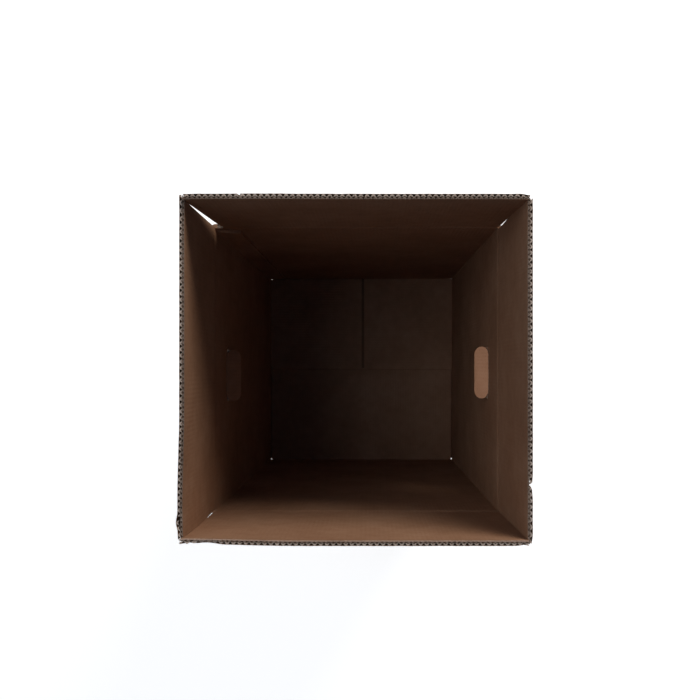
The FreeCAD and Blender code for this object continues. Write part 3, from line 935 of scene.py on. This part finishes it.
def rounded_block(half):
    """A block as wide and high as a tab, with round corners, standing below the Y axis."""
    bpy.ops.object.select_all(action="DESELECT")
    bpy.ops.mesh.primitive_cube_add(size=1, location=(0, 0, -(TAB_TOP + TAB_HEIGHT) / 2))
    block = bpy.context.object
    block.scale = (4 * BOARD, 2 * half, TAB_HEIGHT - TAB_TOP)
    settle(block)
    bpy.ops.object.mode_set(mode="EDIT")
    mesh = bmesh.from_edit_mesh(block.data)
    for edge in mesh.edges:
        ends = [vertex.co for vertex in edge.verts]
        edge.select = abs(ends[0].x - ends[1].x) > BOARD
    bmesh.update_edit_mesh(block.data)
    bpy.ops.mesh.bevel(offset=TAB_CORNER, segments=8, affect="EDGES")
    bpy.ops.object.mode_set(mode="OBJECT")
    return block


# %% Tab boards
def tab_board(name, body, turn, gap, slide):
    """A tab that clears its hole by that gap, moved a little along it, with its papers hanging."""
    sheets = copy_board()
    for sheet in sheets:
        only(sheet)
        bpy.ops.object.mode_set(mode="EDIT")
        bpy.ops.mesh.select_all(action="SELECT")
        bpy.ops.transform.translate(value=(HINGE_PROUD + BOARD, 0, -TAB_FROM))
        bpy.ops.object.mode_set(mode="OBJECT")
        cut(sheet, (0, 0, TAB_TOP), (0, 0, 1), clear=True)
        cut(sheet, (0, 0, -TAB_HEIGHT - TAB_SPARE), (0, 0, -1), clear=True)
        cut(sheet, (0, HOLE_HALF + TAB_SPARE, 0), (0, 1, 0), clear=True)
        cut(sheet, (0, -HOLE_HALF - TAB_SPARE, 0), (0, -1, 0), clear=True)
        thickness = FLUTE_PAPER if "flute" in sheet.name else LINER
        apply_modifier(sheet, "SOLIDIFY", thickness=thickness, offset=0)
        block = rounded_block(HOLE_HALF - gap)
        apply_modifier(sheet, "BOOLEAN", object=block, operation="INTERSECT", solver="EXACT")
        only(block)
        bpy.ops.object.delete()
        sheet.data.materials.append(flute_paper if "flute" in sheet.name else kraft_liner)
        sheet.data.materials.append(cut_edge)
        for polygon in sheet.data.polygons:
            polygon.material_index = 0 if abs(polygon.normal.x) > 0.3 else 1
    board = join(name, sheets)
    board.rotation_euler = (0, math.radians(TAB_PUSH), math.radians(turn))
    board.location = Vector(HINGES[body]) + Vector((0, slide, 0))
    settle(board)
    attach(board, body)
    return board


right_tab = tab_board("right_tab_board", "right_tab", 0, 0.4 * MM, 0)
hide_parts("handle_flap_right")
left_tab = tab_board("left_tab_board", "left_tab", 180, 1.2 * MM, -0.9 * MM)
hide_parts("handle_flap_left")
for tab in (right_tab, left_tab):
    print(tab.name, len(tab.data.polygons), "faces")

only(*pattern)
bpy.ops.object.delete()

# %% [markdown]
# ## Scores
#
# A flap and its wall are one sheet: at the score the board is pressed flat, so the inner liner
# dips into a shallow valley and the outer liner runs on over the fold. Each is a strip of paper
# that bends between the wall and the flap.


# %% A strip of paper
def strip(name, profile, half_low, half_high, thickness):
    """A strip along Y. profile lists its rows as (x, z), from the wall to the flap."""
    rows = len(profile) - 1
    width = half_low + half_high
    bpy.ops.object.select_all(action="DESELECT")
    bpy.ops.mesh.primitive_grid_add(
        x_subdivisions=1, y_subdivisions=rows, size=1, rotation=(math.pi / 2, 0, math.pi / 2),
        location=(0, (half_high - half_low) / 2, 0))
    piece = bpy.context.object
    piece.name = piece.data.name = name
    piece.scale = (width, 1, 1)
    settle(piece)
    bpy.ops.object.mode_set(mode="EDIT")
    # The grid is a metre high. All rows first step a metre aside, so that a row that is already
    # in its place is never picked again.
    for row, (x, z) in enumerate(profile):
        old = row / rows - 0.5
        pick(piece, lambda spot: abs(spot.z - old) < 0.25 / rows and abs(spot.x) < 0.1 * MM)
        bpy.ops.transform.translate(value=(x + 1, 0, 0))
    for row, (x, z) in enumerate(profile):
        old = row / rows - 0.5
        pick(piece, lambda spot: abs(spot.z - old) < 0.25 / rows and spot.x > 0.5)
        bpy.ops.transform.translate(value=(-1, 0, z - old))
    bpy.ops.object.mode_set(mode="OBJECT")
    apply_modifier(piece, "SOLIDIFY", thickness=thickness, offset=0)
    piece.data.materials.append(kraft_liner)
    return piece


def place_strip(piece, body):
    """Turn a strip to its wall and put it at the flap's hinge."""
    hinge = Vector(HINGES[body])
    piece.rotation_euler = (0, 0, math.radians(FACING[body]))
    piece.location = hinge
    settle(piece)
    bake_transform(piece)


# %% Strips over the scores
# VALLEY lists how far the inner liner dips into the board and at what height, in millimetres.
# The outer liner only has heights: it runs straight over the fold.
VALLEY = [(0, -9), (0.15, -6), (1.1, -2.6), (1.6, 0), (1.1, 2.6), (0.15, 6), (0, 9)]
FOLD = [-3, -1.2, 0, 1.2, 3]
INNER_STRIP = 0.12 * MM
OUTER_STRIP = 0.16 * MM
STRIP_PROUD = 0.04 * MM

for body in FACING:
    slot = SIDES[body][2]
    reach = HALF_WIDTH - 0.5 * MM
    reaches = [reach, reach - (slot[0] if slot else 0)]
    lean = math.tan(math.radians(LEAN[body]))
    face = -HINGE_PROUD - BOARD
    rows = [(face + dip * MM - STRIP_PROUD - max(0, z * MM) * lean, z * MM) for dip, z in VALLEY]
    inner = strip(f"{body}_inner_score", rows, *reaches, INNER_STRIP)
    place_strip(inner, body)
    rows = [(-HINGE_PROUD - max(0, z * MM) * lean, z * MM) for z in FOLD]
    outer = strip(f"{body}_outer_score", rows, *reaches, OUTER_STRIP)
    place_strip(outer, body)
print("made", 2 * len(FACING), "strips over the scores")

# %% [markdown]
# ## Where the bottom flaps cross
#
# The side flaps of the bottom go under the front flap and over the back flap. Their liner doesn't
# step up: it rises in one bend against the front flap's edge, so only a thin line shows there. The
# same strip as at the scores makes it, with the rows of the bend.

# %% Bends over the crossing
BEND = [(-2.25, 12.4), (-2.1, 13.2), (-1.3, 13.62), (0.0, 13.88), (1.5, 13.98), (2.8, 13.9)]
CROSSING_STRIP = 0.3 * MM

rows = [(across * MM, height * MM) for across, height in BEND]
gap_end = BOTTOM_GAP_PLACE + BOTTOM_GAP / 2
wall = WALL_IN - 0.3 * MM
for name, half_low, half_high in (("left", gap_end - 0.6 * MM, wall), ("right", wall, -gap_end)):
    crossing = strip(f"{name}_crossing_liner", rows, half_low, half_high, CROSSING_STRIP)
    crossing.rotation_euler = (0, 0, math.pi / 2)
    settle(crossing)
    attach(crossing, "carton")
print("made the liners over the crossing")

# %% [markdown]
# ## Walls and tape
#
# The walls, the bottom and the tape keep their CAD shape, because it is the real shape already.
# Only their material changes.

# %% Finish of the CAD pieces
frame["nodes"]["carton_shell"].data.materials[0] = wall_kraft
frame["nodes"]["bottom_tape"].data.materials[0] = packing_tape
print("the walls are in", wall_kraft.name, "and the tape in", packing_tape.name)

# %% [markdown]
# ## Studio
#
# The camera looks straight down into the box from about a metre above the rim. A low window at
# the back gives the light on the front flap, a wide panel on the left reaches down the right wall,
# a cool one from higher up grazes it, a faint one overhead cools the bottom, and a fill keeps the
# outside from going black. The room itself gives little, so the inside grows dark downwards.

# %% Camera
camera_data = bpy.data.cameras.new("camera")
camera = bpy.data.objects.new("camera", camera_data)
bpy.context.collection.objects.link(camera)
camera.location = (0.0216, 0.00085, 1.936)
camera_data.lens = 40.25
camera_data.sensor_width = 36
camera_data.shift_x = -0.0290
camera_data.shift_y = 0.0266
camera_data.clip_end = 50
bpy.context.scene.camera = camera
print("the camera is", round(camera.location.z - cad_high.z, 2), "m above the rim")


# %% Lamps
LAMP_DISTANCE = 3.2
TAB_LAMP_DISTANCE = 1.5


def lamp(name, azimuth, height_angle, size, power, colour=(1, 1, 1), distance=LAMP_DISTANCE):
    """A square panel that looks at the middle of the rim from that direction, in degrees."""
    data = bpy.data.lights.new(name, "AREA")
    data.shape = "SQUARE"
    data.size = size
    data.energy = power
    data.color = colour
    piece = bpy.data.objects.new(name, data)
    piece.visible_camera = False
    bpy.context.collection.objects.link(piece)
    around, up = math.radians(azimuth), math.radians(height_angle)
    way = Vector((math.cos(around) * math.cos(up), math.sin(around) * math.cos(up), math.sin(up)))
    piece.location = Vector((0, 0, cad_high.z)) + way * distance
    piece.rotation_euler = way.to_track_quat("Z", "Y").to_euler()
    return piece


lamp("window_light", 63, 20, 1.4, 60, (1.0, 0.95, 0.88))
lamp("side_light", 160, 42, 2.4, 11)
lamp("high_light", 172, 66, 1.6, 18, (0.84, 0.91, 1.0))
lamp("fill_light", 320, -12, 1.2, 26)
lamp("sky_light", 0, 88, 1.5, 1.6, (0.05, 0.5, 1.0))

# %% [markdown]
# ## Light through the hand hole
#
# Daylight falls in through the right hand hole and makes its tab glow. A small lamp that only
# reaches this tab stands in for it: light linking names the one piece that it lights.

# %% The tab's lamp
tab_light = lamp("tab_light", 180, 60, 0.4, 12.6, (1.0, 0.90, 0.86), TAB_LAMP_DISTANCE)
lit_by_it = bpy.data.collections.new("lit_by_the_tab_light")
lit_by_it.objects.link(right_tab)
tab_light.light_linking.receiver_collection = lit_by_it
lamps = [piece.name for piece in bpy.context.scene.objects if piece.type == "LIGHT"]
print("the lamps are", ", ".join(lamps))

# %% [markdown]
# ## Background
#
# The background is white where the camera sees it, straight or in a gloss, but as a light it is a
# dim blue-grey, so it doesn't flatten the shade inside the box. The floor does the same and keeps
# the shadow that the box throws on it.


# %% World and floor
AMBIENT = (0.036, 0.052, 0.076)
WHITE = (1, 1, 1)
FLOOR_SIZE = 14
FLOOR_DROP = 0.5 * MM
FLOOR_GLOW = 0.8


def seen_directly(tree):
    """1 for what the camera sees, also in a gloss or through glass, and 0 for plain light."""
    rays = tree.nodes.new("ShaderNodeLightPath")
    seen = math_node(tree, "MAXIMUM", rays.outputs["Is Camera Ray"], rays.outputs["Is Glossy Ray"])
    return math_node(tree, "MAXIMUM", seen, rays.outputs["Is Transmission Ray"])


world = bpy.data.worlds.new("studio")
bpy.context.scene.world = world
world.use_nodes = True
tree = world.node_tree
sky = mix_colour(tree, seen_directly(tree), AMBIENT, WHITE)
tree.links.new(sky, tree.nodes["Background"].inputs["Color"])

bpy.ops.object.select_all(action="DESELECT")
bpy.ops.mesh.primitive_plane_add(size=FLOOR_SIZE, location=(0, 0, -FLOOR_DROP))
floor = bpy.context.object
floor.name = "studio_floor"
floor_paint, tree, shader = new_material("studio_floor")
shader.inputs["Base Color"].default_value = (0.80, 0.79, 0.78, 1)
shader.inputs["Roughness"].default_value = 0.9
shader.inputs["Emission Color"].default_value = (*WHITE, 1)
glow = math_node(tree, "MULTIPLY", seen_directly(tree), FLOOR_GLOW)
tree.links.new(glow, shader.inputs["Emission Strength"])
floor.data.materials.append(floor_paint)

bpy.context.scene.view_settings.view_transform = "Standard"
print("made", world.name, "and", floor.name)
